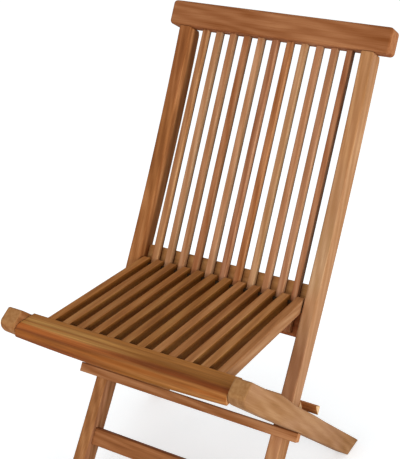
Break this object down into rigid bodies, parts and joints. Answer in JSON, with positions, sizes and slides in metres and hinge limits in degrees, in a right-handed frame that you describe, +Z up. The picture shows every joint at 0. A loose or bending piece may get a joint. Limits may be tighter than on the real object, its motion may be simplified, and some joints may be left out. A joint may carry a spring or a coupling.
{
  "type": "folding garden chair",
  "caption": "Folding slatted wooden garden chair without arms; crossed legs, reclined back, seat hinged to the back frame.",
  "frame": {"origin": "on the floor, under the middle of the unfolded chair's bounding box", "axes": "+Z up; -Y towards the front edge of the seat; +X towards the right as the chair is seen from its front"},
  "size_m": [0.5, 0.644, 0.9011],
  "materials": {
    "teak_honey": "oiled, satin",
    "teak_amber": "oiled, satin",
    "teak_straw": "oiled, satin",
    "teak_umber": "oiled, satin",
    "teak_russet": "oiled, satin",
    "steel": "brushed"
  },
  "bodies": {
    "back_frame": {"left_stile": "teak_honey", "right_stile": "teak_honey", "top_rail": "teak_russet", "back_slat_01": "teak_amber", "back_slat_02": "teak_honey", "back_slat_03": "teak_umber", "back_slat_04": "teak_amber", "back_slat_05": "teak_honey", "back_slat_06": "teak_umber", "back_slat_07": "teak_amber", "back_slat_08": "teak_honey", "back_slat_09": "teak_umber", "back_slat_10": "teak_amber", "back_slat_11": "teak_honey", "slat_screw_01": "steel", "slat_screw_02": "steel", "slat_screw_03": "steel", "slat_screw_04": "steel", "slat_screw_05": "steel", "slat_screw_06": "steel", "slat_screw_07": "steel", "slat_screw_08": "steel", "slat_screw_09": "steel", "slat_screw_10": "steel", "slat_screw_11": "steel", "lower_back_rail": "teak_russet", "front_stretcher": "teak_umber", "front_crossbar": "teak_russet", "rear_crossbar": "teak_russet", "left_front_dowel": "teak_straw", "left_rear_dowel": "teak_straw", "right_front_dowel": "teak_straw", "right_rear_dowel": "teak_straw", "hinge_rod": "steel"},
    "seat": {"seat_slat_01": "teak_amber", "seat_slat_02": "teak_umber", "seat_slat_03": "teak_honey", "seat_slat_04": "teak_amber", "seat_slat_05": "teak_amber", "seat_slat_06": "teak_umber", "seat_slat_07": "teak_honey", "seat_slat_08": "teak_amber", "seat_slat_09": "teak_amber", "seat_slat_10": "teak_umber", "seat_slat_11": "teak_honey", "seat_slat_12": "teak_amber", "front_rail": "teak_amber", "left_leg_pin": "steel", "right_leg_pin": "steel"},
    "rear_legs": {"left_rear_leg": "teak_straw", "right_rear_leg": "teak_straw"}
  },
  "joints": [
    {"name": "seat_hinge", "type": "hinge", "parent": "back_frame", "child": "seat", "pos_m": [0, 0.0375, 0.41612], "axis": [-1, 0, 0], "range_deg": [0, 110]},
    {"name": "leg_hinge", "type": "hinge", "parent": "seat", "child": "rear_legs", "pos_m": [0, -0.28869, 0.43922], "axis": [1, 0, 0], "range_deg": [0, 37.5]}
  ],
  "couplings": [
    {"joint": "leg_hinge", "follows": "seat_hinge", "ratio": 0.34}
  ]
}
